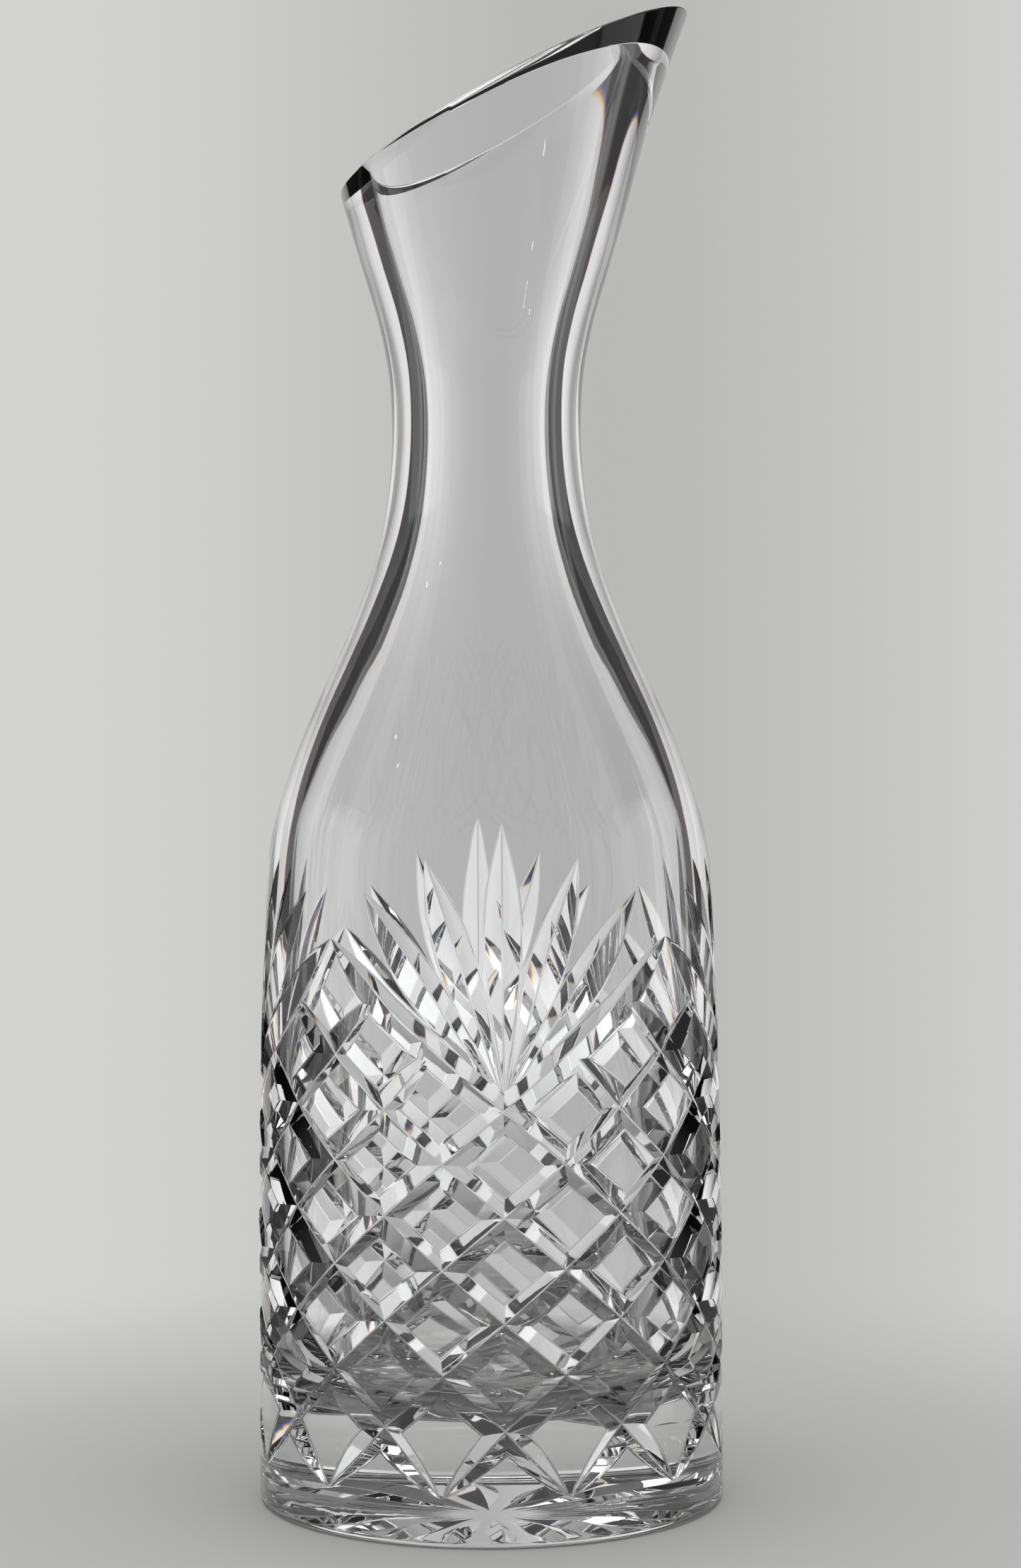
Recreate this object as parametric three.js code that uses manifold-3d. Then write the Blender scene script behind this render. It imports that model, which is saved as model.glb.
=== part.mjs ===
// A one-piece wine carafe of cut crystal, blown and then wheel-cut.
// Millimetres, +Z up, origin at the centre of the base. The pouring lip is on the +X side.
// An angle round the axis is measured from -Y towards +X.

import * as THREE from "three";
import { mergeVertices } from "three/addons/utils/BufferGeometryUtils.js";
import Module from "manifold-3d";

const wasm = await Module();
wasm.setup();

// ---- Driving dimensions ----

// Heights with the outer and the inner radius of the wall there, from the foot to the lip.
const WALL = [
  [0, 47.5, 42.5],
  [31, 47.5, 42.5],
  [62, 47.5, 42.5],
  [90, 47.0, 42.1],
  [118, 46.0, 41.2],
  [132, 45.0, 40.2],
  [141, 43.0, 38.4],
  [153, 39.0, 34.0],
  [165, 33.9, 28.2],
  [176, 28.8, 22.6],
  [188, 24.2, 17.7],
  [200, 21.0, 14.5],
  [214, 19.5, 13.0],
  [228, 19.8, 13.2],
  [240, 21.9, 15.2],
  [252, 25.4, 18.6],
  [264, 28.9, 22.0],
  [280, 33.4, 25.8],
  [299, 40.0, 30.6],
  [312, 45.0, 34.2],
];

const NECK_Z = 214; // where the neck is slimmest
const SHOULDER_Z = 118; // where the barrel begins to turn in

const FOOT_ARRIS = 1.8; // rounding of the foot's lower edge
const FLOOR_TOP = 22; // thickness of the glass under the wine
const FLOOR_CORNER = 12; // radius between the inner floor and the wall

const MOUTH_CENTRE_Z = 283; // height of the slanted mouth on the axis
const MOUTH_SLANT = THREE.MathUtils.degToRad(27.25);
const RIM_DROP = 0.9; // how far below the mouth's plane the rim's rounding begins

const CUT_DEPTH = 2.1; // the lattice's mitre cuts
const CUT_HALF_WIDTH = 3.1;
const CUT_RUN_OUT = 17; // length over which a mitre cut rises out of the glass
const END_SWING = 2.6; // how far the two ends of a mitre cut swing off its straight line

const COLUMNS = 12; // crossings in one ring of the lattice
const COLUMN = 360 / COLUMNS;
const ROW = 20.2; // height from one crossing to the next above it
const ROOT_Z = 82.7; // height of the crossings that the fans spring from
const LOWEST_Z = ROOT_Z - 3.5 * ROW; // where the cuts would end above the foot if straight

const FANS = 4;
const LEAF_START_Z = ROOT_Z + 2; // the inner leaves begin just above the fan's root
const LEAF_TIPS = [
  [0, 137.8],
  [19, 130.9],
  [-19, 130.9],
  [35.3, 124.7],
  [-35.3, 124.7],
]; // degrees from the fan's middle, and height
const LEAF_DEPTH = 2.55;

const STAR_RAYS = 24; // wheel-cut star under the base
const STAR_INNER = 5;
const STAR_OUTER = 44;
const STAR_DEPTH = 1.6;

// How finely the faceted solid is divided
const ROUND_STEPS = 40;
const BARREL_LEVELS = [62, 90, SHOULDER_Z]; // heights with a ring of corners on the barrel
const SHOULDER_STEPS = 7;
const FLARE_STEPS = 5;
const RIM_STEPS = 5;
const ARRIS_STEPS = 2;
const CORNER_STEPS = 3;
const CUT_STEP = 10; // degrees round the barrel for each step of a cut
const LEAF_STEPS = 5;
const RAY_STEPS = 3;

// ---- The wall's outline ----

const outerLine = new THREE.SplineCurve(WALL.map(([z, outer]) => new THREE.Vector2(outer, z)));
const innerLine = new THREE.SplineCurve(WALL.map(([z, , inner]) => new THREE.Vector2(inner, z)));

// The radius of an outline at one height, by halving the interval that holds it.
function radiusAt(line, z) {
  let low = 0;
  let high = 1;
  for (let i = 0; i < 40; i += 1) {
    const middle = (low + high) / 2;
    if (line.getPoint(middle).y < z) {
      low = middle;
    } else {
      high = middle;
    }
  }
  return line.getPoint(low).x;
}

// The point of an outline that lies RIM_DROP under the slanted plane of the mouth.
function rimStart(line, lean) {
  let z = MOUTH_CENTRE_Z;
  for (let i = 0; i < 30; i += 1) {
    z = MOUTH_CENTRE_Z - RIM_DROP + radiusAt(line, z) * lean;
  }
  return new THREE.Vector2(radiusAt(line, z), z);
}

// Points up or down an outline between two heights, the first one left out.
function wallPoints(line, from, to, steps) {
  const points = [];
  for (let i = 1; i <= steps; i += 1) {
    const z = from + ((to - from) * i) / steps;
    points.push(new THREE.Vector2(radiusAt(line, z), z));
  }
  return points;
}

// The rounded rim: half an ellipse over the wall's end, which just reaches the mouth's plane.
function rimPoints(outer, inner, lean) {
  const middle = outer.clone().add(inner).multiplyScalar(0.5);
  const half = outer.clone().sub(inner).multiplyScalar(0.5);
  const below = new THREE.Vector2(radiusAt(outerLine, outer.y - 1), outer.y - 1);
  const along = outer.clone().sub(below).normalize();
  along.multiplyScalar(RIM_DROP / (along.y - along.x * lean));
  const points = [];
  for (let i = 1; i < RIM_STEPS; i += 1) {
    const angle = (Math.PI * i) / RIM_STEPS;
    const point = middle.clone();
    point.addScaledVector(half, Math.cos(angle));
    point.addScaledVector(along, Math.sin(angle));
    points.push(point);
  }
  return points;
}

// A quarter circle in the section, from one angle to another, both measured from outwards.
function quarterRound(radius, z, size, from, to, steps) {
  const points = [];
  for (let i = 0; i <= steps; i += 1) {
    const angle = from + ((to - from) * i) / steps;
    const offset = new THREE.Vector2(size * Math.cos(angle), size * Math.sin(angle));
    points.push(offset.add(new THREE.Vector2(radius, z)));
  }
  return points;
}

// The closed outline at one angle round the axis, from the base's centre to the inner floor's.
function sectionAt(angle) {
  const lean = Math.sin(angle) * Math.tan(MOUTH_SLANT);
  const outerRim = rimStart(outerLine, lean);
  const innerRim = rimStart(innerLine, lean);
  const footRadius = radiusAt(outerLine, 0) - FOOT_ARRIS;
  const cornerZ = FLOOR_TOP + FLOOR_CORNER;
  const cornerRadius = radiusAt(innerLine, cornerZ) - FLOOR_CORNER;
  const down = -Math.PI / 2;
  return [
    new THREE.Vector2(0, 0),
    ...quarterRound(footRadius, FOOT_ARRIS, FOOT_ARRIS, down, 0, ARRIS_STEPS),
    ...BARREL_LEVELS.map((z) => new THREE.Vector2(radiusAt(outerLine, z), z)),
    ...wallPoints(outerLine, SHOULDER_Z, NECK_Z, SHOULDER_STEPS),
    ...wallPoints(outerLine, NECK_Z, outerRim.y, FLARE_STEPS),
    ...rimPoints(outerRim, innerRim, lean),
    innerRim,
    ...wallPoints(innerLine, innerRim.y, NECK_Z, FLARE_STEPS),
    ...wallPoints(innerLine, NECK_Z, SHOULDER_Z, SHOULDER_STEPS),
    ...quarterRound(cornerRadius, cornerZ, FLOOR_CORNER, 0, down, CORNER_STEPS),
    new THREE.Vector2(0, FLOOR_TOP),
  ];
}

// ---- Solids and booleans ----

function toManifold(geometry) {
  const plain = geometry.clone();
  plain.deleteAttribute("normal");
  plain.deleteAttribute("uv");
  const merged = mergeVertices(plain, 1e-4);
  const vertProperties = new Float32Array(merged.attributes.position.array);
  const triVerts = new Uint32Array(merged.index.array);
  return new wasm.Manifold(new wasm.Mesh({ numProp: 3, vertProperties, triVerts }));
}

function toGeometry(solid) {
  const mesh = solid.getMesh();
  const geometry = new THREE.BufferGeometry();
  geometry.setAttribute("position", new THREE.BufferAttribute(mesh.vertProperties, 3));
  geometry.setIndex(new THREE.BufferAttribute(mesh.triVerts, 1));
  geometry.computeVertexNormals();
  return geometry;
}

// A lathe whose outline changes with the angle, so that the mouth slants.
function blankGeometry() {
  const geometry = new THREE.LatheGeometry(sectionAt(0), ROUND_STEPS);
  const position = geometry.attributes.position;
  const count = position.count / (ROUND_STEPS + 1);
  for (let step = 0; step <= ROUND_STEPS; step += 1) {
    const angle = (2 * Math.PI * ((step % ROUND_STEPS) + 0.5)) / ROUND_STEPS;
    sectionAt(angle).forEach((point, index) => {
      const x = point.x * Math.sin(angle);
      const y = -point.x * Math.cos(angle);
      position.setXYZ(step * count + index, x, y, point.y);
    });
  }
  return geometry;
}

// A wheel's cut as a solid: a mitre section whose depth changes along it. place() turns the
// distance along the cut, the distance across it and the height over the surface into a point.
function wheelCut(length, steps, depthAt, place) {
  const clearance = 1;
  const spread = CUT_HALF_WIDTH / CUT_DEPTH;
  const corners = [new THREE.Vector2(0, 0), new THREE.Vector2(1, 1), new THREE.Vector2(-1, 1)];
  const options = { depth: length, steps, bevelEnabled: false };
  const geometry = new THREE.ExtrudeGeometry(new THREE.Shape(corners), options);
  const position = geometry.attributes.position;
  for (let i = 0; i < position.count; i += 1) {
    const along = position.getZ(i);
    const reach = depthAt(along) + clearance;
    const across = position.getX(i) * reach * spread;
    const rise = position.getY(i) * reach - depthAt(along);
    position.setXYZ(i, ...place(along, across, rise).toArray());
  }
  return toManifold(geometry);
}

// A cut on the barrel's unrolled surface, between two places given as angle and height. It is
// straight, apart from what swingAt() adds to its height.
function barrelCut(from, to, depthAt, swingAt = () => 0) {
  const perDegree = (2 * Math.PI * WALL[0][1]) / 360;
  const start = new THREE.Vector2(from[0] * perDegree, from[1]);
  const way = new THREE.Vector2(to[0] * perDegree, to[1]).sub(start);
  const length = way.length();
  const heading = way.clone().normalize();
  const turned = Math.abs(to[0] - from[0]);
  const steps = Math.max(LEAF_STEPS, Math.round(turned / CUT_STEP));
  return wheelCut(length, steps, (along) => depthAt(along, length), (along, across, rise) => {
    const around = start.x + heading.x * along - heading.y * across;
    const z = start.y + heading.y * along + heading.x * across + swingAt(along, length);
    const angle = THREE.MathUtils.degToRad(around / perDegree);
    const radius = radiusAt(outerLine, z) + rise;
    return new THREE.Vector3(radius * Math.sin(angle), -radius * Math.cos(angle), z);
  });
}

// A long mitre cut: full depth, with a run-out at each end.
function mitreDepth(along, length) {
  const toEnd = Math.min(along, length - along, CUT_RUN_OUT);
  return CUT_DEPTH * (1 - (1 - toEnd / CUT_RUN_OUT) ** 2);
}

// A mitre cut's lower end swings down over its run-out, and the upper end swings up.
function mitreSwing(along, length) {
  const lower = Math.max(0, 1 - along / CUT_RUN_OUT);
  const upper = Math.max(0, 1 - (length - along) / CUT_RUN_OUT);
  return END_SWING * (upper - lower);
}

// A leaf: a cut that only dips in and out, deepest a little past the middle.
function leafDepth(along, length) {
  return LEAF_DEPTH * Math.sin(Math.PI * (along / length) ** 1.3);
}

// Both slopes of the lattice. Every third cut runs on as a fan's outermost leaf, and the others
// stop where they meet such a leaf.
function latticeCuts() {
  const cuts = [];
  const halfRowsUp = [3, 2, 1];
  for (let column = 0; column < COLUMNS; column += 1) {
    const angle = column * COLUMN;
    for (const side of [1, -1]) {
      const order = (side * column + COLUMNS) % 3;
      const up = halfRowsUp[order];
      const from = [angle - side * 3.5 * COLUMN, LOWEST_Z];
      const to = [angle + (side * up * COLUMN) / 2, ROOT_Z + (up * ROW) / 2];
      cuts.push(barrelCut(from, to, mitreDepth, mitreSwing));
    }
  }
  return cuts;
}

function fanCuts() {
  const cuts = [];
  for (let fan = 0; fan < FANS; fan += 1) {
    const middle = (360 / FANS) * fan;
    for (const [offset, tipZ] of LEAF_TIPS) {
      cuts.push(barrelCut([middle, LEAF_START_Z], [middle + offset, tipZ], leafDepth));
    }
  }
  return cuts;
}

function starCuts() {
  const cuts = [];
  const length = STAR_OUTER - STAR_INNER;
  const depthAt = (along) => STAR_DEPTH * Math.sin(Math.PI * (along / length) ** 1.3);
  for (let ray = 0; ray < STAR_RAYS; ray += 1) {
    const angle = (2 * Math.PI * ray) / STAR_RAYS;
    const outwards = new THREE.Vector3(Math.sin(angle), -Math.cos(angle), 0);
    const down = new THREE.Vector3(0, 0, -1);
    const sideways = down.clone().cross(outwards);
    cuts.push(wheelCut(length, RAY_STEPS, depthAt, (along, across, rise) => {
      const point = outwards.clone().multiplyScalar(STAR_INNER + along);
      return point.addScaledVector(sideways, across).addScaledVector(down, rise);
    }));
  }
  return cuts;
}

// ---- The model ----

let glass = toManifold(blankGeometry());
for (const cut of [...latticeCuts(), ...fanCuts(), ...starCuts()]) {
  glass = glass.subtract(cut);
}

const crystal = new THREE.MeshStandardMaterial({
  color: 0xf2f5f4,
  roughness: 0.03,
  metalness: 0,
  transparent: true,
  opacity: 0.35,
});
const body = new THREE.Mesh(toGeometry(glass), crystal);
body.name = "crystal_body";

const carafe = new THREE.Group();
carafe.add(body);

export default carafe;
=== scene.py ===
"""A one-piece cut-crystal wine carafe with a slanted mouth, on a plain pale stage.

Metres, +Z up, origin at the centre of the base. The pouring lip is on the +X side.
Angles round the axis are measured from -Y towards +X.
"""

import math

import bpy
import numpy as np
from mathutils import Euler, Matrix, Vector


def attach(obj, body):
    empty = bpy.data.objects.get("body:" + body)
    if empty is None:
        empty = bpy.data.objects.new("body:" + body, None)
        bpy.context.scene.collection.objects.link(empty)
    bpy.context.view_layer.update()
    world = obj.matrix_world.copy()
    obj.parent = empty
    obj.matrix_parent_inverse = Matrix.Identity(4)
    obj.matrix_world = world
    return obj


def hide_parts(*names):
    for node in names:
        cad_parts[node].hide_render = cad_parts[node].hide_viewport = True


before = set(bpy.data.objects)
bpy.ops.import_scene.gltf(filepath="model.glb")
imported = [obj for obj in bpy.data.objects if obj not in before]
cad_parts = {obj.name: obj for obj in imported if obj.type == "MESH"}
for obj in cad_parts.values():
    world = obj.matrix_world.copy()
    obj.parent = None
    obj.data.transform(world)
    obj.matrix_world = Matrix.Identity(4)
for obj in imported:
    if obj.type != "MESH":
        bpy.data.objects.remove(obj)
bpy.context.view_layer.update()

bl_info = {
    "name": "Cut Crystal Carafe",
    "version": (1, 0, 0),
    "blender": (4, 5, 0),
    "location": "3D View > Sidebar > Carafe",
    "description": "Makes a wheel-cut crystal wine carafe and a plain stage for it",
    "category": "Add Mesh",
}

NODE = "crystal_body"
POLISH = "clean_normal"
BODY = "root"
MM = 0.001

# ---- The outline, the same as the frame's ----

# Heights with the outer and the inner radius of the wall there, in millimetres.
WALL = [
    (0, 47.5, 42.5),
    (31, 47.5, 42.5),
    (62, 47.5, 42.5),
    (90, 47.0, 42.1),
    (118, 46.0, 41.2),
    (132, 45.0, 40.2),
    (141, 43.0, 38.4),
    (153, 39.0, 34.0),
    (165, 33.9, 28.2),
    (176, 28.8, 22.6),
    (188, 24.2, 17.7),
    (200, 21.0, 14.5),
    (214, 19.5, 13.0),
    (228, 19.8, 13.2),
    (240, 21.9, 15.2),
    (252, 25.4, 18.6),
    (264, 28.9, 22.0),
    (280, 33.4, 25.8),
    (299, 40.0, 30.6),
    (312, 45.0, 34.2),
]
NECK_Z = 214 * MM
SHOULDER_Z = 118 * MM

# ---- The layout of the cuts ----

COLUMNS = 12
ROWS_DOWN = 3.5  # rows that a lattice cut runs down from the height of the fans' roots
HALF_ROWS_UP = (3, 2, 1)  # half rows that it runs up from there, in turn
FANS = 4
# Degrees from a fan's middle, and height in millimetres, of its inner leaves' tips
LEAF_TIPS = ((0, 137.8), (19, 130.9), (-19, 130.9), (35.3, 124.7), (-35.3, 124.7))
LEAF_START = 2 * MM  # above the fan's root
LEAF_LEAN = 1.3  # over 1, a leaf is deepest past its middle
STAR_RAYS = 24
STAR_INNER = 5 * MM
STAR_OUTER = 44 * MM

# ---- How finely the blank and the cuts are divided ----

OUTLINE_STEPS = 4000
RIM_ROUNDS = 40
ROUND_STEPS = 180
BARREL_STEPS = 10
SHOULDER_STEPS = 36
FLARE_STEPS = 26
RIM_STEPS = 20
ARRIS_STEPS = 8
CORNER_STEPS = 12
FLOOR_STEPS = 5
STAR_STEPS = 12
DEGREES_PER_CUT_STEP = 1.5
LEAST_CUT_STEPS = 20
VALLEY_STEPS = 3
EDGE_STEPS = 4
FOOT_RING = 0.4 * MM  # a narrow ring inside the foot's arris, which keeps the flat foot's shading flat
SMOOTH_ANGLE = math.radians(20)


def outline(column):
    """The wall's outer (1) or inner (2) outline as a table of heights and radii."""
    points = [(row[column] * MM, row[0] * MM) for row in WALL]
    last = len(points) - 1
    heights, radii = [], []
    for step in range(OUTLINE_STEPS + 1):
        place = last * step / OUTLINE_STEPS
        index = min(int(place), last - 1)
        w = place - index
        p0, p1 = points[max(index - 1, 0)], points[index]
        p2, p3 = points[index + 1], points[min(index + 2, last)]
        pair = []
        for axis in (0, 1):
            v0 = (p2[axis] - p0[axis]) / 2
            v1 = (p3[axis] - p1[axis]) / 2
            cubic = 2 * p1[axis] - 2 * p2[axis] + v0 + v1
            square = -3 * p1[axis] + 3 * p2[axis] - 2 * v0 - v1
            pair.append(cubic * w**3 + square * w**2 + v0 * w + p1[axis])
        radii.append(pair[0])
        heights.append(pair[1])
    return np.array(heights), np.array(radii)


OUTER = outline(1)
INNER = outline(2)


def radius_at(line, z):
    """The outline's radius at a height."""
    return np.interp(z, line[0], line[1])


# ---- Sizes and looks that a user would change ----


class CarafeSizes(bpy.types.PropertyGroup):
    """Sizes of the blank and of its cuts"""

    foot_arris: bpy.props.FloatProperty(
        name="Foot arris",
        description="Rounding of the foot's lower edge",
        default=1.8 * MM,
        unit="LENGTH",
    )
    floor_top: bpy.props.FloatProperty(
        name="Base thickness",
        description="Thickness of the glass under the wine",
        default=22 * MM,
        unit="LENGTH",
    )
    floor_corner: bpy.props.FloatProperty(
        name="Inner corner",
        description="Radius between the inner floor and the wall",
        default=12 * MM,
        unit="LENGTH",
    )
    mouth_z: bpy.props.FloatProperty(
        name="Mouth height",
        description="Height of the slanted mouth on the axis",
        default=283 * MM,
        unit="LENGTH",
    )
    mouth_slant: bpy.props.FloatProperty(
        name="Mouth slant",
        description="Angle of the mouth's plane from level",
        default=math.radians(27.25),
        subtype="ANGLE",
    )
    rim_drop: bpy.props.FloatProperty(
        name="Rim rounding",
        description="How far below the mouth's plane the rim's rounding begins",
        default=0.9 * MM,
        unit="LENGTH",
    )
    cut_depth: bpy.props.FloatProperty(
        name="Cut depth",
        description="Depth of the lattice's mitre cuts",
        default=2.1 * MM,
        unit="LENGTH",
    )
    cut_half_width: bpy.props.FloatProperty(
        name="Cut half width",
        description="Half the width of a mitre cut at full depth",
        default=3.1 * MM,
        unit="LENGTH",
    )
    run_out: bpy.props.FloatProperty(
        name="Run-out",
        description="Length over which a mitre cut rises out of the glass",
        default=17 * MM,
        unit="LENGTH",
    )
    end_swing: bpy.props.FloatProperty(
        name="End swing",
        description="How far the two ends of a mitre cut swing off its straight line",
        default=2.6 * MM,
        unit="LENGTH",
    )
    row: bpy.props.FloatProperty(
        name="Lattice row",
        description="Height from one crossing of the lattice to the next above it",
        default=20.2 * MM,
        unit="LENGTH",
    )
    root_z: bpy.props.FloatProperty(
        name="Fan root",
        description="Height of the crossings that the fans spring from",
        default=82.7 * MM,
        unit="LENGTH",
    )
    leaf_depth: bpy.props.FloatProperty(
        name="Leaf depth",
        description="Greatest depth of a fan's leaf",
        default=2.55 * MM,
        unit="LENGTH",
    )
    edge_radius: bpy.props.FloatProperty(
        name="Polished edge",
        description="Radius that acid polishing leaves on the edge of a cut",
        default=1.2 * MM,
        unit="LENGTH",
    )
    valley_radius: bpy.props.FloatProperty(
        name="Polished valley",
        description="Radius at the bottom of a cut",
        default=0.45 * MM,
        unit="LENGTH",
    )
    star_depth: bpy.props.FloatProperty(
        name="Star depth",
        description="Greatest depth of a ray of the star under the base",
        default=1.6 * MM,
        unit="LENGTH",
    )


class CarafeGlass(bpy.types.PropertyGroup):
    """Looks of the crystal"""

    ior: bpy.props.FloatProperty(
        name="Index of refraction",
        description="Lead crystal bends light more than window glass",
        default=1.55,
        min=1.0,
    )
    body_density: bpy.props.FloatProperty(
        name="Tint density",
        description="How fast the tint grows with the glass's thickness, for each metre",
        default=3.0,
        min=0.0,
    )
    body_colour: bpy.props.FloatVectorProperty(
        name="Glass colour",
        description="The faint tint that thick crystal gives what is seen through it",
        default=(0.95, 0.965, 0.96),
        subtype="COLOR",
        size=3,
    )


class StageLook(bpy.types.PropertyGroup):
    """Looks of the floor and the backdrop"""

    floor_colour: bpy.props.FloatVectorProperty(
        name="Floor colour",
        description="Colour of the plain floor",
        default=(0.8, 0.8, 0.79),
        subtype="COLOR",
        size=3,
    )
    backdrop_colour: bpy.props.FloatVectorProperty(
        name="Backdrop colour",
        description="Tint of the plain light backdrop",
        default=(1.0, 0.995, 0.98),
        subtype="COLOR",
        size=3,
    )


# ---- The blank: the blown form before any cut ----


def rim_start(line, lean, sizes):
    """The point of an outline that lies the rim's drop under the mouth's plane. Each round
    comes closer to it."""
    z = sizes.mouth_z
    for _ in range(RIM_ROUNDS):
        z = sizes.mouth_z - sizes.rim_drop + float(radius_at(line, z)) * lean
    return np.array((float(radius_at(line, z)), z))


def wall_points(line, start, end, steps):
    """Points along an outline between two heights, the first one left out."""
    heights = np.linspace(start, end, steps + 1)[1:]
    return [np.array((r, z)) for r, z in zip(radius_at(line, heights), heights)]


def quarter_round(radius, z, size, start, end, steps):
    """Points of an arc in the section's plane."""
    angles = np.linspace(start, end, steps + 1)
    return [np.array((radius + size * math.cos(a), z + size * math.sin(a))) for a in angles]


def rim_points(outer, inner, lean, drop):
    """Half an ellipse over the wall's end, which just reaches the mouth's plane."""
    middle = (outer + inner) / 2
    half = (outer - inner) / 2
    below = np.array((float(radius_at(OUTER, outer[1] - MM)), outer[1] - MM))
    along = (outer - below) / np.linalg.norm(outer - below)
    along *= drop / (along[1] - along[0] * lean)
    angles = np.linspace(0, math.pi, RIM_STEPS + 1)[1:-1]
    return [middle + half * math.cos(a) + along * math.sin(a) for a in angles]


def section_at(angle, sizes):
    """The closed outline at one angle, from the base's centre to the inner floor's."""
    lean = math.sin(angle) * math.tan(sizes.mouth_slant)
    outer_rim = rim_start(OUTER, lean, sizes)
    inner_rim = rim_start(INNER, lean, sizes)
    arris = sizes.foot_arris
    foot = float(radius_at(OUTER, 0)) - arris
    corner_z = sizes.floor_top + sizes.floor_corner
    corner = float(radius_at(INNER, corner_z)) - sizes.floor_corner
    down = -math.pi / 2
    points = [np.array((0.0, 0.0)), np.array((foot - FOOT_RING, 0.0))]
    points += quarter_round(foot, arris, arris, down, 0, ARRIS_STEPS)
    points += wall_points(OUTER, arris, SHOULDER_Z, BARREL_STEPS)
    points += wall_points(OUTER, SHOULDER_Z, NECK_Z, SHOULDER_STEPS)
    points += wall_points(OUTER, NECK_Z, outer_rim[1], FLARE_STEPS)
    points += rim_points(outer_rim, inner_rim, lean, sizes.rim_drop)
    points += [inner_rim]
    points += wall_points(INNER, inner_rim[1], NECK_Z, FLARE_STEPS)
    points += wall_points(INNER, NECK_Z, SHOULDER_Z, SHOULDER_STEPS)
    points += wall_points(INNER, SHOULDER_Z, corner_z, BARREL_STEPS)[:-1]
    points += quarter_round(corner, corner_z, sizes.floor_corner, 0, down, CORNER_STEPS)
    for step in range(1, FLOOR_STEPS):
        points.append(np.array((corner * (1 - step / FLOOR_STEPS), sizes.floor_top)))
    points.append(np.array((0.0, sizes.floor_top)))
    return points


def blank_mesh(sizes):
    """The sections at all angles, joined round the axis into one closed mesh."""
    sections = []
    for step in range(ROUND_STEPS):
        sections.append(section_at(2 * math.pi * step / ROUND_STEPS, sizes))
    inside = len(sections[0]) - 2
    vertices = [(0.0, 0.0, 0.0)]
    for step, section in enumerate(sections):
        angle = 2 * math.pi * step / ROUND_STEPS
        for radius, z in section[1:-1]:
            vertices.append((radius * math.sin(angle), -radius * math.cos(angle), z))
    vertices.append((0.0, 0.0, sizes.floor_top))
    top = len(vertices) - 1
    faces = []
    for step in range(ROUND_STEPS):
        here = 1 + step * inside
        there = 1 + ((step + 1) % ROUND_STEPS) * inside
        faces.append((0, there, here))
        for k in range(inside - 1):
            faces.append((here + k, there + k, there + k + 1, here + k + 1))
        faces.append((here + inside - 1, there + inside - 1, top))
    mesh = bpy.data.meshes.new("blown_blank")
    mesh.from_pydata(vertices, [], faces)
    return mesh


# ---- The cuts ----


def cutter_mesh(name, cuts):
    """One mesh of many cuts. Each is a list of rings of points, closed at both ends."""
    vertices, faces = [], []
    for rings in cuts:
        first = len(vertices)
        count = len(rings[0])
        for ring in rings:
            vertices.extend(tuple(point) for point in ring)
        for step in range(len(rings) - 1):
            a = first + step * count
            b = a + count
            for k in range(count):
                n = (k + 1) % count
                faces.append((a + k, a + n, b + n, b + k))
        faces.append(tuple(first + k for k in reversed(range(count))))
        last = first + (len(rings) - 1) * count
        faces.append(tuple(last + k for k in range(count)))
    mesh = bpy.data.meshes.new(name)
    mesh.from_pydata(vertices, [], faces)
    return mesh


def wheel_section(depth, sizes):
    """A mitre's section as distances across the cut and heights over the glass. Its walls
    are straight, its valley is rounded and its upper edges roll over into the surface."""
    clearance = 1.0 * MM
    least = 0.03 * MM
    shallowest = math.radians(4)
    most_rounded = 0.8  # share of a wall that the valley and the edge may round off
    skirt = (0.15 * MM, 0.012 * MM)  # leaves the glass almost level, past the rolled edge
    side = 0.3 * MM
    slope = math.atan2(sizes.cut_depth, sizes.cut_half_width)
    spread = sizes.cut_half_width / sizes.cut_depth
    true_depth = max(depth, least)
    lift = true_depth - depth
    wall = true_depth / math.sin(slope)
    tangents = (sizes.edge_radius + sizes.valley_radius) * math.tan(slope / 2)
    share = min(1.0, most_rounded * wall / tangents)
    edge = sizes.edge_radius * share
    valley = sizes.valley_radius * share
    half = []
    centre = valley / math.cos(slope) - true_depth
    for step in range(VALLEY_STEPS + 1):
        turn = slope * step / VALLEY_STEPS
        half.append((valley * math.sin(turn), centre - valley * math.cos(turn)))
    brink = true_depth * spread + edge * math.tan(slope / 2)
    for step in range(EDGE_STEPS + 1):
        turn = slope + (shallowest - slope) * step / EDGE_STEPS
        half.append((brink - edge * math.sin(turn), edge * (math.cos(turn) - 1)))
    half.append((half[-1][0] + skirt[0], skirt[1]))
    half.append((half[-1][0] + side, clearance))
    left = [(-across, rise) for across, rise in reversed(half[1:])]
    return [(across, rise + lift) for across, rise in half + left]


def no_swing(along, length):
    """For a cut that stays on its straight line."""
    return 0.0


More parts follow.
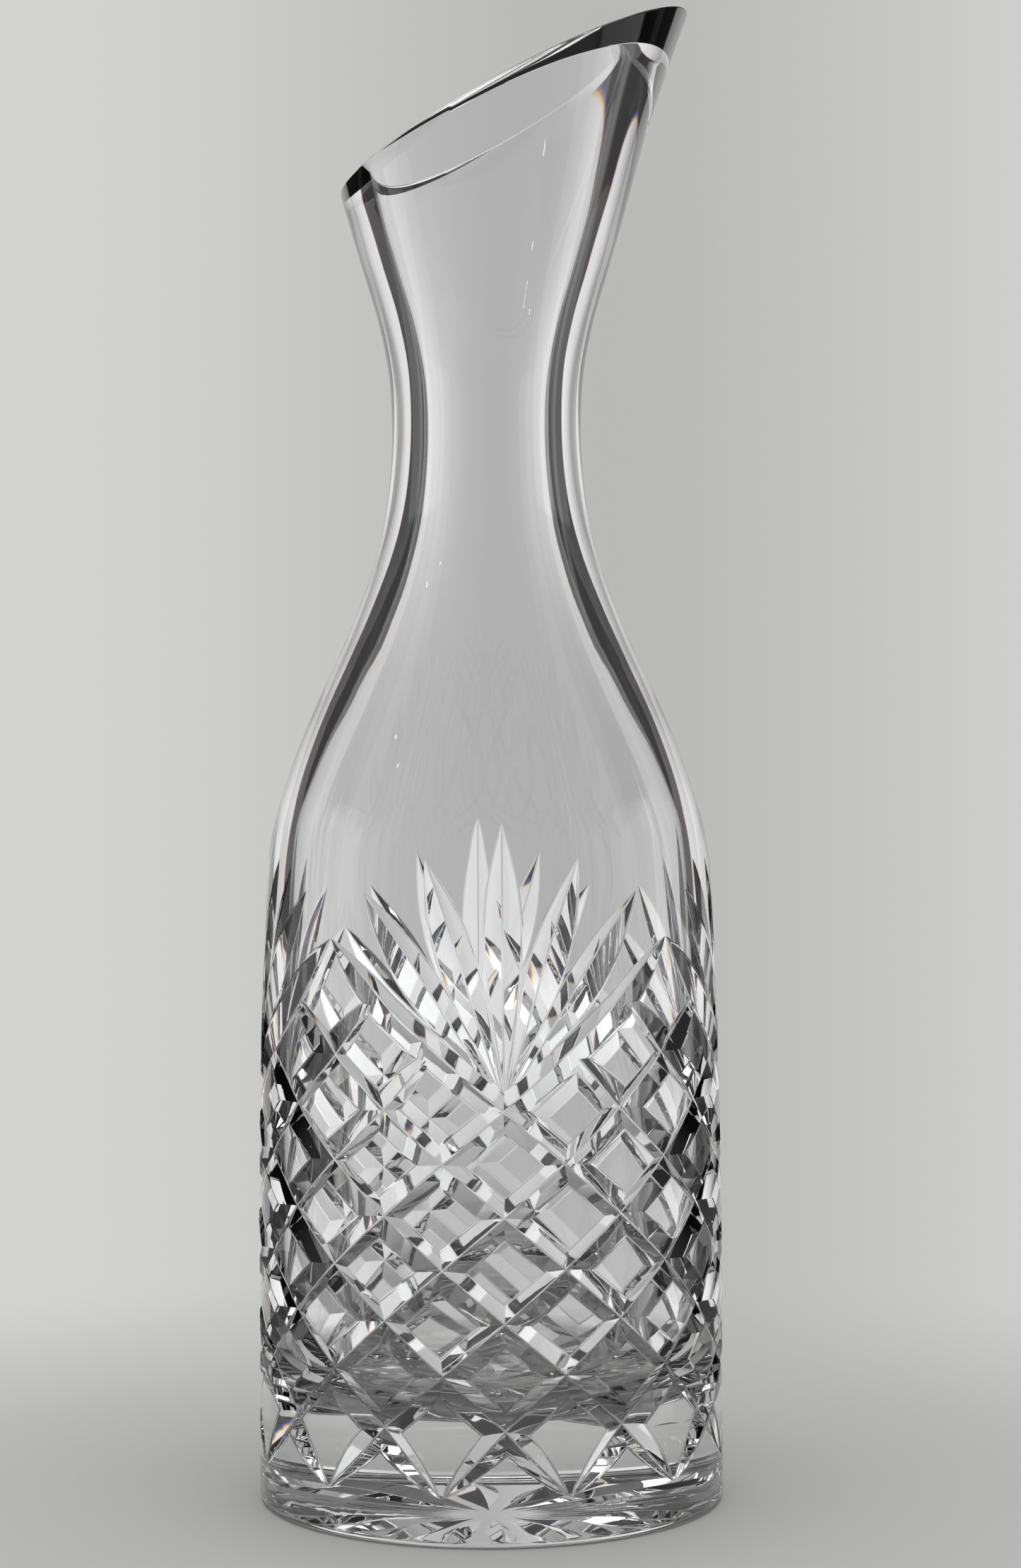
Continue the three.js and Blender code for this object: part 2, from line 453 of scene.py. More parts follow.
def barrel_cut(start, end, depth_at, sizes, swing_at=no_swing):
    """A cut on the unrolled barrel, between two places given as angle and height. It is
    straight, apart from what swing_at() adds to its height."""
    per_degree = 2 * math.pi * WALL[0][1] * MM / 360
    origin = np.array((start[0] * per_degree, start[1]))
    way = np.array((end[0] * per_degree, end[1])) - origin
    length = float(np.linalg.norm(way))
    heading = way / length
    turned = abs(end[0] - start[0])
    steps = max(LEAST_CUT_STEPS, round(turned / DEGREES_PER_CUT_STEP))
    rings = []
    for along in np.linspace(0, length, steps + 1):
        ring = []
        for across, rise in wheel_section(depth_at(along, length), sizes):
            around = origin[0] + heading[0] * along - heading[1] * across
            z = origin[1] + heading[1] * along + heading[0] * across
            z += swing_at(along, length)
            angle = math.radians(around / per_degree)
            radius = float(radius_at(OUTER, z)) + rise
            ring.append((radius * math.sin(angle), -radius * math.cos(angle), z))
        rings.append(ring)
    return rings


def mitre_depth(sizes):
    """A long mitre cut: full depth, with a run-out at each end."""

    def depth(along, length):
        to_end = min(along, length - along, sizes.run_out)
        return sizes.cut_depth * (1 - (1 - to_end / sizes.run_out) ** 2)

    return depth


def mitre_swing(sizes):
    """A mitre cut's lower end swings down over its run-out, and the upper end swings up."""

    def swing(along, length):
        lower = max(0.0, 1 - along / sizes.run_out)
        upper = max(0.0, 1 - (length - along) / sizes.run_out)
        return sizes.end_swing * (upper - lower)

    return swing


def leaf_depth(deepest):
    """A leaf or a ray: it dips in and out, and is deepest a little past the middle."""

    def depth(along, length):
        return deepest * math.sin(math.pi * (along / length) ** LEAF_LEAN)

    return depth


def lattice_cuts(side, sizes):
    """One slope of the lattice. Every third cut runs on as a fan's outermost leaf, and the
    others stop where they meet such a leaf."""
    cuts = []
    column = 360 / COLUMNS
    for index in range(COLUMNS):
        up = HALF_ROWS_UP[(side * index) % len(HALF_ROWS_UP)]
        angle = index * column
        start = (angle - side * ROWS_DOWN * column, sizes.root_z - ROWS_DOWN * sizes.row)
        end = (angle + side * up * column / 2, sizes.root_z + up * sizes.row / 2)
        cuts.append(barrel_cut(start, end, mitre_depth(sizes), sizes, mitre_swing(sizes)))
    return cuts


def leaf_cuts(offset, tip_z, sizes):
    """The same inner leaf of every fan."""
    cuts = []
    for fan in range(FANS):
        middle = 360 / FANS * fan
        start = (middle, sizes.root_z + LEAF_START)
        end = (middle + offset, tip_z * MM)
        cuts.append(barrel_cut(start, end, leaf_depth(sizes.leaf_depth), sizes))
    return cuts


def star_cuts(sizes):
    """The rays of the star, ground up into the flat foot."""
    cuts = []
    length = STAR_OUTER - STAR_INNER
    depth_at = leaf_depth(sizes.star_depth)
    for ray in range(STAR_RAYS):
        angle = 2 * math.pi * ray / STAR_RAYS
        outwards = np.array((math.sin(angle), -math.cos(angle), 0))
        down = np.array((0.0, 0.0, -1.0))
        sideways = np.cross(down, outwards)
        rings = []
        for along in np.linspace(0, length, STAR_STEPS + 1):
            ring = []
            for across, rise in wheel_section(depth_at(along, length), sizes):
                ring.append(outwards * (STAR_INNER + along) + sideways * across + down * rise)
            rings.append(ring)
        cuts.append(rings)
    return cuts


def note_normals(mesh, sign):
    """Keeps a clean mesh's smooth normals as an attribute, which the cuts carry along."""
    mesh.shade_smooth()
    mesh.set_sharp_from_angle(angle=SMOOTH_ANGLE)
    normals = np.empty(len(mesh.loops) * 3, dtype=np.float32)
    mesh.corner_normals.foreach_get("vector", normals)
    kept = mesh.attributes.new(POLISH, "FLOAT_VECTOR", "CORNER")
    kept.data.foreach_set("vector", normals * sign)


def cut_away(piece, name, cuts, finish):
    """Grinds one group of cuts, which don't touch each other, out of the piece."""
    mesh = cutter_mesh(name, cuts)
    mesh.materials.append(finish)
    note_normals(mesh, -1)
    wheel = bpy.data.objects.new(name, mesh)
    bpy.context.collection.objects.link(wheel)
    boolean = piece.modifiers.new(name, "BOOLEAN")
    boolean.operation = "DIFFERENCE"
    boolean.solver = "MANIFOLD"
    boolean.material_mode = "TRANSFER"
    boolean.object = wheel
    bpy.context.view_layer.objects.active = piece
    before = len(piece.data.polygons)
    bpy.ops.object.modifier_apply(modifier=boolean.name)
    bpy.data.objects.remove(wheel)
    bpy.data.meshes.remove(mesh)
    if len(piece.data.polygons) <= before:
        raise RuntimeError(f"{name} cut nothing away")


def polish_normals(mesh):
    """Shades each face with the normals of the clean surface that it was cut from."""
    loops = len(mesh.loops)
    normals = np.empty(loops * 3, dtype=np.float32)
    mesh.attributes[POLISH].data.foreach_get("vector", normals)
    normals = normals.reshape(loops, 3)
    normals /= np.linalg.norm(normals, axis=1)[:, None].clip(1e-9)
    mesh.attributes.remove(mesh.attributes[POLISH])
    mesh.shade_smooth()
    mesh.normals_split_custom_set(normals)


# ---- Finishes ----


def crystal_material(name, look, wave_scale, wave_height, mark_scale, mark_height):
    """Lead crystal with the slow waves and the fine marks that its working leaves."""
    material = bpy.data.materials.new(name)
    material.use_nodes = True
    nodes = material.node_tree.nodes
    links = material.node_tree.links
    nodes.clear()

    relief = nodes.new("NodeFrame")
    relief.label = "Relief left by the working"
    relief.location = (-900, 100)

    place = nodes.new("ShaderNodeTexCoord")
    place.label = "Place on the glass"
    place.location = (-900, 0)
    place.parent = relief

    waves = nodes.new("ShaderNodeTexNoise")
    waves.label = "Slow waves"
    waves.location = (-700, 100)
    waves.parent = relief
    waves.inputs["Scale"].default_value = wave_scale
    waves.inputs["Detail"].default_value = 1.0

    marks = nodes.new("ShaderNodeTexNoise")
    marks.label = "Fine marks under the polish"
    marks.location = (-700, -150)
    marks.parent = relief
    marks.inputs["Scale"].default_value = mark_scale
    marks.inputs["Detail"].default_value = 2.0
    marks.inputs["Roughness"].default_value = 0.6

    wave_bump = nodes.new("ShaderNodeBump")
    wave_bump.label = "Waves on the surface"
    wave_bump.location = (-480, 100)
    wave_bump.parent = relief
    wave_bump.inputs["Strength"].default_value = 1.0
    wave_bump.inputs["Distance"].default_value = wave_height

    mark_bump = nodes.new("ShaderNodeBump")
    mark_bump.label = "Marks on the waves"
    mark_bump.location = (-280, -50)
    mark_bump.parent = relief
    mark_bump.inputs["Strength"].default_value = 1.0
    mark_bump.inputs["Distance"].default_value = mark_height

    crystal = nodes.new("NodeFrame")
    crystal.label = "Clear polished crystal"
    crystal.location = (0, 200)

    glass = nodes.new("ShaderNodeBsdfPrincipled")
    glass.label = "Lead crystal"
    glass.location = (0, 200)
    glass.parent = crystal
    glass.inputs["Base Color"].default_value = (1.0, 1.0, 1.0, 1.0)
    glass.inputs["Roughness"].default_value = 0.0
    glass.inputs["IOR"].default_value = look.ior
    glass.inputs["Transmission Weight"].default_value = 1.0

    body = nodes.new("NodeFrame")
    body.label = "Faint tint of thick crystal"
    body.location = (0, -500)

    absorb = nodes.new("ShaderNodeVolumeAbsorption")
    absorb.label = "Tint by thickness"
    absorb.location = (0, -500)
    absorb.parent = body
    absorb.inputs["Color"].default_value = (*look.body_colour, 1.0)
    absorb.inputs["Density"].default_value = look.body_density

    output = nodes.new("ShaderNodeOutputMaterial")
    output.label = "Crystal"
    output.location = (350, 0)

    links.new(place.outputs["Object"], waves.inputs["Vector"])
    links.new(place.outputs["Object"], marks.inputs["Vector"])
    links.new(waves.outputs["Fac"], wave_bump.inputs["Height"])
    links.new(marks.outputs["Fac"], mark_bump.inputs["Height"])
    links.new(wave_bump.outputs["Normal"], mark_bump.inputs["Normal"])
    links.new(mark_bump.outputs["Normal"], glass.inputs["Normal"])
    links.new(glass.outputs["BSDF"], output.inputs["Surface"])
    links.new(absorb.outputs["Volume"], output.inputs["Volume"])
    return material


def floor_material(look):
    """A plain pale floor that fades out before its edge."""
    material = bpy.data.materials.new("plain_floor")
    material.use_nodes = True
    nodes = material.node_tree.nodes
    links = material.node_tree.links
    nodes.clear()

    edge = nodes.new("NodeFrame")
    edge.label = "Fade before the floor's edge"
    edge.location = (-600, 0)

    place = nodes.new("ShaderNodeTexCoord")
    place.label = "Place on the floor"
    place.location = (-600, 0)
    place.parent = edge

    out_from_middle = nodes.new("ShaderNodeVectorMath")
    out_from_middle.label = "Distance from the middle"
    out_from_middle.location = (-400, 0)
    out_from_middle.parent = edge
    out_from_middle.operation = "LENGTH"

    fade = nodes.new("ShaderNodeMapRange")
    fade.label = "Fade"
    fade.location = (-200, 0)
    fade.parent = edge
    fade.interpolation_type = "SMOOTHSTEP"
    fade.inputs["From Min"].default_value = 0.07
    fade.inputs["From Max"].default_value = 0.30
    fade.inputs["To Min"].default_value = 1.0
    fade.inputs["To Max"].default_value = 0.0

    paint = nodes.new("NodeFrame")
    paint.label = "Matt paint"
    paint.location = (50, 0)

    shader = nodes.new("ShaderNodeBsdfPrincipled")
    shader.label = "Pale paint"
    shader.location = (50, 0)
    shader.parent = paint
    shader.inputs["Base Color"].default_value = (*look.floor_colour, 1.0)
    shader.inputs["Roughness"].default_value = 0.7

    output = nodes.new("ShaderNodeOutputMaterial")
    output.label = "Floor"
    output.location = (350, 0)

    links.new(place.outputs["Object"], out_from_middle.inputs[0])
    links.new(out_from_middle.outputs["Value"], fade.inputs["Value"])
    links.new(fade.outputs["Result"], shader.inputs["Alpha"])
    links.new(shader.outputs["BSDF"], output.inputs["Surface"])
    return material


# ---- Operators ----


class CARAFE_OT_make_crystal(bpy.types.Operator):
    """Blow the blank, grind every cut into it and polish it"""

    bl_idname = "carafe.make_crystal"
    bl_label = "Make the crystal carafe"

    def execute(self, context):
        sizes = context.scene.carafe_sizes
        look = context.scene.carafe_glass
        blown = crystal_material(
            "blown_crystal",
            look,
            wave_scale=40.0,
            wave_height=0.02 * MM,
            mark_scale=700.0,
            mark_height=0.0001 * MM,
        )
        cut = crystal_material(
            "wheel_cut_crystal",
            look,
            wave_scale=260.0,
            wave_height=0.015 * MM,
            mark_scale=1500.0,
            mark_height=0.0008 * MM,
        )
        mesh = blank_mesh(sizes)
        mesh.materials.append(blown)
        note_normals(mesh, 1)
        piece = bpy.data.objects.new("cut_crystal_carafe", mesh)
        context.collection.objects.link(piece)
        cut_away(piece, "rising_lattice", lattice_cuts(1, sizes), cut)
        cut_away(piece, "falling_lattice", lattice_cuts(-1, sizes), cut)
        for index, (offset, tip_z) in enumerate(LEAF_TIPS):
            cut_away(piece, f"fan_leaf_{index}", leaf_cuts(offset, tip_z, sizes), cut)
        cut_away(piece, "base_star", star_cuts(sizes), cut)
        polish_normals(piece.data)
        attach(piece, BODY)
        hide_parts(NODE)
        return {"FINISHED"}


class CARAFE_OT_lay_stage(bpy.types.Operator):
    """Lay the plain floor and set the soft light and the camera"""

    bl_idname = "carafe.lay_stage"
    bl_label = "Lay the stage"

    def execute(self, context):
        look = context.scene.carafe_stage
        mesh = bpy.data.meshes.new("floor")
        reach = 400 * MM
        gap_under_foot = 0.05 * MM
        mesh.from_pydata(
            [(-reach, -reach, 0), (reach, -reach, 0), (reach, reach, 0), (-reach, reach, 0)],
            [],
            [(0, 1, 2, 3)],
        )
        mesh.materials.append(floor_material(look))
        floor = bpy.data.objects.new("floor", mesh)
        context.collection.objects.link(floor)
        floor.location.z = -gap_under_foot
        set_world(context.scene, look)
        set_camera(context.scene)
        context.scene.view_settings.view_transform = "Standard"
        return {"FINISHED"}


def set_world(scene, look):
    """A plain soft studio: a light panel before and behind, a narrow one at each side, dark
    gaps between them, and light overhead. An even light fills the camera's side, and a small
    lamp adds sparkle. The camera itself sees a plain backdrop."""
    world = bpy.data.worlds.new("soft_studio")
    scene.world = world
    world.use_nodes = True
    nodes = world.node_tree.nodes
    links = world.node_tree.links
    nodes.clear()

    walls = nodes.new("NodeFrame")
    walls.label = "Where a direction meets the studio's walls"
    walls.location = (-1400, 0)

    place = nodes.new("ShaderNodeTexCoord")
    place.label = "Direction"
    place.location = (-1400, 0)
    place.parent = walls

    parts = nodes.new("ShaderNodeSeparateXYZ")
    parts.label = "Its parts"
    parts.location = (-1200, 0)
    parts.parent = walls

    width = nodes.new("ShaderNodeMath")
    width.label = "Sideways part"
    width.location = (-1000, -150)
    width.parent = walls
    width.operation = "ABSOLUTE"

    depth = nodes.new("ShaderNodeMath")
    depth.label = "Forward part"
    depth.location = (-1000, 50)
    depth.parent = walls
    depth.operation = "ABSOLUTE"

    front_across = nodes.new("ShaderNodeMath")
    front_across.label = "Across the front or back wall"
    front_across.location = (-800, 200)
    front_across.parent = walls
    front_across.operation = "DIVIDE"

    front_up = nodes.new("ShaderNodeMath")
    front_up.label = "Up the front or back wall"
    front_up.location = (-800, 50)
    front_up.parent = walls
    front_up.operation = "DIVIDE"

    side_across = nodes.new("ShaderNodeMath")
    side_across.label = "Across a side wall"
    side_across.location = (-800, -100)
    side_across.parent = walls
    side_across.operation = "DIVIDE"

    side_up = nodes.new("ShaderNodeMath")
    side_up.label = "Up a side wall"
    side_up.location = (-800, -250)
    side_up.parent = walls
    side_up.operation = "DIVIDE"

    front = nodes.new("NodeFrame")
    front.label = "Light panels before and behind, dimmer in the middle"
    front.location = (-550, 300)

    off_middle = nodes.new("ShaderNodeMath")
    off_middle.label = "Off the panel's middle"
    off_middle.location = (-550, 300)
    off_middle.parent = front
    off_middle.operation = "SUBTRACT"
    off_middle.inputs[1].default_value = 0.10

    from_middle = nodes.new("ShaderNodeMath")
    from_middle.label = "Distance from the middle"
    from_middle.location = (-350, 300)
    from_middle.parent = front
    from_middle.operation = "ABSOLUTE"

    over_horizon = nodes.new("ShaderNodeMath")
    over_horizon.label = "Height over the horizon"
    over_horizon.location = (-350, 500)
    over_horizon.parent = front
    over_horizon.operation = "MAXIMUM"
    over_horizon.inputs[1].default_value = 0.0

    panel_place = nodes.new("ShaderNodeCombineXYZ")
    panel_place.label = "Place on the panel"
    panel_place.location = (-150, 500)
    panel_place.parent = front

    panel_scale = nodes.new("ShaderNodeVectorMath")
    panel_scale.label = "In panel widths and heights"
    panel_scale.location = (50, 500)
    panel_scale.parent = front
    panel_scale.operation = "MULTIPLY"
    panel_scale.inputs[1].default_value = (1.15, 2.5, 0.0)

    panel_way = nodes.new("ShaderNodeVectorMath")
    panel_way.label = "How far towards the rim"
    panel_way.location = (250, 500)
    panel_way.parent = front
    panel_way.operation = "LENGTH"

    rim = nodes.new("ShaderNodeValToRGB")
    rim.label = "Panel with a thin rainbow rim"
    rim.location = (450, 500)
    rim.parent = front
    rim.color_ramp.interpolation = "EASE"
    rim.color_ramp.elements[0].position = 0.93
    rim.color_ramp.elements[0].color = (1.0, 1.0, 1.0, 1.0)
    rim.color_ramp.elements[1].position = 1.0
    rim.color_ramp.elements[1].color = (0.0, 0.0, 0.0, 1.0)
    rim.color_ramp.elements.new(0.95).color = (1.0, 0.78, 0.38, 1.0)
    rim.color_ramp.elements.new(0.965).color = (0.62, 0.26, 0.10, 1.0)
    rim.color_ramp.elements.new(0.98).color = (0.06, 0.13, 0.50, 1.0)

    front_glow = nodes.new("ShaderNodeMapRange")
    front_glow.label = "Dimmer middle"
    front_glow.location = (-150, 50)
    front_glow.parent = front
    front_glow.interpolation_type = "SMOOTHSTEP"
    front_glow.inputs["From Min"].default_value = 0.0
    front_glow.inputs["From Max"].default_value = 0.55
    front_glow.inputs["To Min"].default_value = 0.44
    front_glow.inputs["To Max"].default_value = 0.84

    low_glow = nodes.new("ShaderNodeMapRange")
    low_glow.label = "Brighter under the horizon"
    low_glow.location = (-150, -200)
    low_glow.parent = front
    low_glow.interpolation_type = "SMOOTHSTEP"
    low_glow.inputs["From Min"].default_value = -0.3
    low_glow.inputs["From Max"].default_value = -0.1
    low_glow.inputs["To Min"].default_value = 1.5
    low_glow.inputs["To Max"].default_value = 1.0

    near_side = nodes.new("ShaderNodeMapRange")
    near_side.label = "Dimmer on the camera's side"
    near_side.location = (-150, -450)
    near_side.parent = front
    near_side.interpolation_type = "SMOOTHSTEP"
    near_side.inputs["From Min"].default_value = -0.1
    near_side.inputs["From Max"].default_value = 0.1
    near_side.inputs["To Min"].default_value = 0.35
    near_side.inputs["To Max"].default_value = 1.0

    height_shade = nodes.new("ShaderNodeMath")
    height_shade.label = "Shading by height and side"
    height_shade.location = (50, -300)
    height_shade.parent = front
    height_shade.operation = "MULTIPLY"

    front_shade = nodes.new("ShaderNodeMath")
    front_shade.label = "Panel's shading"
    front_shade.location = (250, 50)
    front_shade.parent = front
    front_shade.operation = "MULTIPLY"

    front_light = nodes.new("ShaderNodeVectorMath")
    front_light.label = "Panel's light"
    front_light.location = (700, 300)
    front_light.parent = front
    front_light.operation = "SCALE"

    side = nodes.new("NodeFrame")
    side.label = "Narrow light panels at the sides"
    side.location = (-550, -400)

    side_edge = nodes.new("ShaderNodeMapRange")
    side_edge.label = "Side panel's edges"
    side_edge.location = (-150, -400)
    side_edge.parent = side
    side_edge.interpolation_type = "SMOOTHSTEP"
    side_edge.inputs["From Min"].default_value = 0.24
    side_edge.inputs["From Max"].default_value = 0.30
    side_edge.inputs["To Min"].default_value = 1.0
    side_edge.inputs["To Max"].default_value = 0.0

    side_top = nodes.new("ShaderNodeMapRange")
    side_top.label = "Side panel's upper edge and light"
    side_top.location = (-150, -600)
    side_top.parent = side
    side_top.interpolation_type = "SMOOTHSTEP"
    side_top.inputs["From Min"].default_value = 0.37
    side_top.inputs["From Max"].default_value = 0.42
    side_top.inputs["To Min"].default_value = 0.75
    side_top.inputs["To Max"].default_value = 0.0

    side_light = nodes.new("ShaderNodeMath")
    side_light.label = "Side panel's light"
    side_light.location = (50, -500)
    side_light.parent = side
    side_light.operation = "MULTIPLY"

    gap = nodes.new("NodeFrame")
    gap.label = "Dark gaps, each with a dim strip"
    gap.location = (-550, -850)

    off_gap = nodes.new("ShaderNodeMath")
    off_gap.label = "Off the strip's middle"
    off_gap.location = (-350, -850)
    off_gap.parent = gap
    off_gap.operation = "SUBTRACT"
    off_gap.inputs[1].default_value = 0.58

    from_gap = nodes.new("ShaderNodeMath")
    from_gap.label = "Distance from the strip"
    from_gap.location = (-150, -850)
    from_gap.parent = gap
    from_gap.operation = "ABSOLUTE"

    gap_light = nodes.new("ShaderNodeMapRange")
    gap_light.label = "Strip in the dark"
    gap_light.location = (50, -850)
    gap_light.parent = gap
    gap_light.interpolation_type = "SMOOTHSTEP"
    gap_light.inputs["From Min"].default_value = 0.04
    gap_light.inputs["From Max"].default_value = 0.10
    gap_light.inputs["To Min"].default_value = 0.12
    gap_light.inputs["To Max"].default_value = 0.045

    above = nodes.new("NodeFrame")
    above.label = "Light overhead, even light in front, and a small lamp for sparkle"
    above.location = (-550, -1100)

    overhead = nodes.new("ShaderNodeMapRange")
    overhead.label = "Soft light overhead"
    overhead.location = (50, -1100)
    overhead.parent = above
    overhead.interpolation_type = "SMOOTHSTEP"
    overhead.inputs["From Min"].default_value = 0.87
    overhead.inputs["From Max"].default_value = 0.93
    overhead.inputs["To Min"].default_value = 0.0
    overhead.inputs["To Max"].default_value = 2.2

    upper_walls = nodes.new("ShaderNodeMapRange")
    upper_walls.label = "Dim upper walls"
    upper_walls.location = (-150, -1100)
    upper_walls.parent = above
    upper_walls.interpolation_type = "SMOOTHSTEP"
    upper_walls.inputs["From Min"].default_value = 0.4
    upper_walls.inputs["From Max"].default_value = 0.75
    upper_walls.inputs["To Min"].default_value = 0.0
    upper_walls.inputs["To Max"].default_value = 0.12

    all_above = nodes.new("ShaderNodeMath")
    all_above.label = "Upper walls and overhead"
    all_above.location = (250, -1100)
    all_above.parent = above
    all_above.operation = "MAXIMUM"

    near_fill = nodes.new("ShaderNodeMapRange")
    near_fill.label = "Even light on the camera's side"
    near_fill.location = (50, -1600)
    near_fill.parent = above
    near_fill.interpolation_type = "SMOOTHSTEP"
    near_fill.inputs["From Min"].default_value = -0.4
    near_fill.inputs["From Max"].default_value = -0.05
    near_fill.inputs["To Min"].default_value = 0.42
    near_fill.inputs["To Max"].default_value = 0.0

    lamp_and_fill = nodes.new("ShaderNodeMath")
    lamp_and_fill.label = "Lamp and even light"
    lamp_and_fill.location = (250, -1450)
    lamp_and_fill.parent = above
    lamp_and_fill.operation = "MAXIMUM"

    lamp_way = nodes.new("ShaderNodeVectorMath")
    lamp_way.label = "Nearness to the lamp"
    lamp_way.location = (-150, -1350)
    lamp_way.parent = above
    lamp_way.operation = "DOT_PRODUCT"
    lamp_way.inputs[1].default_value = (-0.740, -0.270, 0.616)

    lamp = nodes.new("ShaderNodeMapRange")
    lamp.label = "Small lamp"
    lamp.location = (50, -1350)
    lamp.parent = above
    lamp.interpolation_type = "SMOOTHSTEP"
    lamp.inputs["From Min"].default_value = 0.99994
    lamp.inputs["From Max"].default_value = 0.99998
    lamp.inputs["To Min"].default_value = 0.0
    lamp.inputs["To Max"].default_value = 40.0

    together = nodes.new("NodeFrame")
    together.label = "The brightest of them"
    together.location = (500, 0)

    panels = nodes.new("ShaderNodeMath")
    panels.label = "Side panels and gaps"
    panels.location = (500, -300)
    panels.parent = together
    panels.operation = "MAXIMUM"

    lamps = nodes.new("ShaderNodeMath")
    lamps.label = "Light overhead and in front"
    lamps.location = (500, -500)
    lamps.parent = together
    lamps.operation = "MAXIMUM"

    white_light = nodes.new("ShaderNodeMath")
    white_light.label = "All of these"
    white_light.location = (700, -400)
    white_light.parent = together
    white_light.operation = "MAXIMUM"

    all_light = nodes.new("ShaderNodeVectorMath")
    all_light.label = "With the front and back panels"
    all_light.location = (950, 0)
    all_light.parent = together
    all_light.operation = "MAXIMUM"

    studio = nodes.new("ShaderNodeBackground")
    studio.label = "Studio"
    studio.location = (1300, 0)
    studio.parent = together
    studio.inputs["Strength"].default_value = 1.0

    seen = nodes.new("NodeFrame")
    seen.label = "Plain backdrop for the camera"
    seen.location = (1100, 400)

    backdrop_light = nodes.new("ShaderNodeMapRange")
    backdrop_light.label = "Soft falling-off towards the middle"
    backdrop_light.location = (1100, 400)
    backdrop_light.parent = seen
    backdrop_light.interpolation_type = "SMOOTHSTEP"
    backdrop_light.inputs["From Min"].default_value = 0.0
    backdrop_light.inputs["From Max"].default_value = 0.2
    backdrop_light.inputs["To Min"].default_value = 0.49
    backdrop_light.inputs["To Max"].default_value = 0.65

    backdrop = nodes.new("ShaderNodeBackground")
    backdrop.label = "Backdrop"
    backdrop.location = (1300, 400)
    backdrop.parent = seen
    backdrop.inputs["Color"].default_value = (*look.backdrop_colour, 1.0)

    path = nodes.new("ShaderNodeLightPath")
    path.label = "Straight from the camera?"
    path.location = (1300, 700)
    path.parent = seen

    either = nodes.new("ShaderNodeMixShader")
    either.label = "Backdrop or studio"
    either.location = (1550, 200)

    output = nodes.new("ShaderNodeOutputWorld")
    output.label = "World"
    output.location = (1750, 200)

    links.new(place.outputs["Generated"], parts.inputs["Vector"])
    links.new(parts.outputs["X"], width.inputs[0])
    links.new(parts.outputs["Y"], depth.inputs[0])
    links.new(parts.outputs["X"], front_across.inputs[0])
    links.new(depth.outputs["Value"], front_across.inputs[1])
    links.new(parts.outputs["Z"], front_up.inputs[0])
    links.new(depth.outputs["Value"], front_up.inputs[1])
    links.new(depth.outputs["Value"], side_across.inputs[0])
    links.new(width.outputs["Value"], side_across.inputs[1])
    links.new(parts.outputs["Z"], side_up.inputs[0])
    links.new(width.outputs["Value"], side_up.inputs[1])

    links.new(front_across.outputs["Value"], off_middle.inputs[0])
    links.new(off_middle.outputs["Value"], from_middle.inputs[0])
    links.new(front_up.outputs["Value"], over_horizon.inputs[0])
    links.new(from_middle.outputs["Value"], panel_place.inputs["X"])
    links.new(over_horizon.outputs["Value"], panel_place.inputs["Y"])
    links.new(panel_place.outputs["Vector"], panel_scale.inputs[0])
    links.new(panel_scale.outputs["Vector"], panel_way.inputs[0])
    links.new(panel_way.outputs["Value"], rim.inputs["Fac"])
    links.new(from_middle.outputs["Value"], front_glow.inputs["Value"])
    links.new(front_up.outputs["Value"], low_glow.inputs["Value"])
    links.new(front_glow.outputs["Result"], front_shade.inputs[0])
    links.new(parts.outputs["Y"], near_side.inputs["Value"])
    links.new(low_glow.outputs["Result"], height_shade.inputs[0])
    links.new(near_side.outputs["Result"], height_shade.inputs[1])
    links.new(height_shade.outputs["Value"], front_shade.inputs[1])
    links.new(rim.outputs["Color"], front_light.inputs[0])
    links.new(front_shade.outputs["Value"], front_light.inputs["Scale"])

    links.new(side_across.outputs["Value"], side_edge.inputs["Value"])
    links.new(side_up.outputs["Value"], side_top.inputs["Value"])
    links.new(side_edge.outputs["Result"], side_light.inputs[0])
    links.new(side_top.outputs["Result"], side_light.inputs[1])

    links.new(side_across.outputs["Value"], off_gap.inputs[0])
    links.new(off_gap.outputs["Value"], from_gap.inputs[0])
    links.new(from_gap.outputs["Value"], gap_light.inputs["Value"])

    links.new(parts.outputs["Z"], overhead.inputs["Value"])
    links.new(parts.outputs["Z"], upper_walls.inputs["Value"])
    links.new(upper_walls.outputs["Result"], all_above.inputs[0])
    links.new(overhead.outputs["Result"], all_above.inputs[1])
    links.new(place.outputs["Generated"], lamp_way.inputs[0])
    links.new(lamp_way.outputs["Value"], lamp.inputs["Value"])

    links.new(side_light.outputs["Value"], panels.inputs[0])
    links.new(gap_light.outputs["Result"], panels.inputs[1])
    links.new(all_above.outputs["Value"], lamps.inputs[0])
    links.new(parts.outputs["Y"], near_fill.inputs["Value"])
    links.new(lamp.outputs["Result"], lamp_and_fill.inputs[0])
    links.new(near_fill.outputs["Result"], lamp_and_fill.inputs[1])
    links.new(lamp_and_fill.outputs["Value"], lamps.inputs[1])
    links.new(panels.outputs["Value"], white_light.inputs[0])
    links.new(lamps.outputs["Value"], white_light.inputs[1])
    links.new(front_light.outputs["Vector"], all_light.inputs[0])
    links.new(white_light.outputs["Value"], all_light.inputs[1])
    links.new(all_light.outputs["Vector"], studio.inputs["Color"])

    links.new(from_middle.outputs["Value"], backdrop_light.inputs["Value"])
    links.new(backdrop_light.outputs["Result"], backdrop.inputs["Strength"])
    links.new(path.outputs["Is Camera Ray"], either.inputs["Fac"])
    links.new(studio.outputs["Background"], either.inputs[1])
    links.new(backdrop.outputs["Background"], either.inputs[2])
    links.new(either.outputs["Shader"], output.inputs["Surface"])


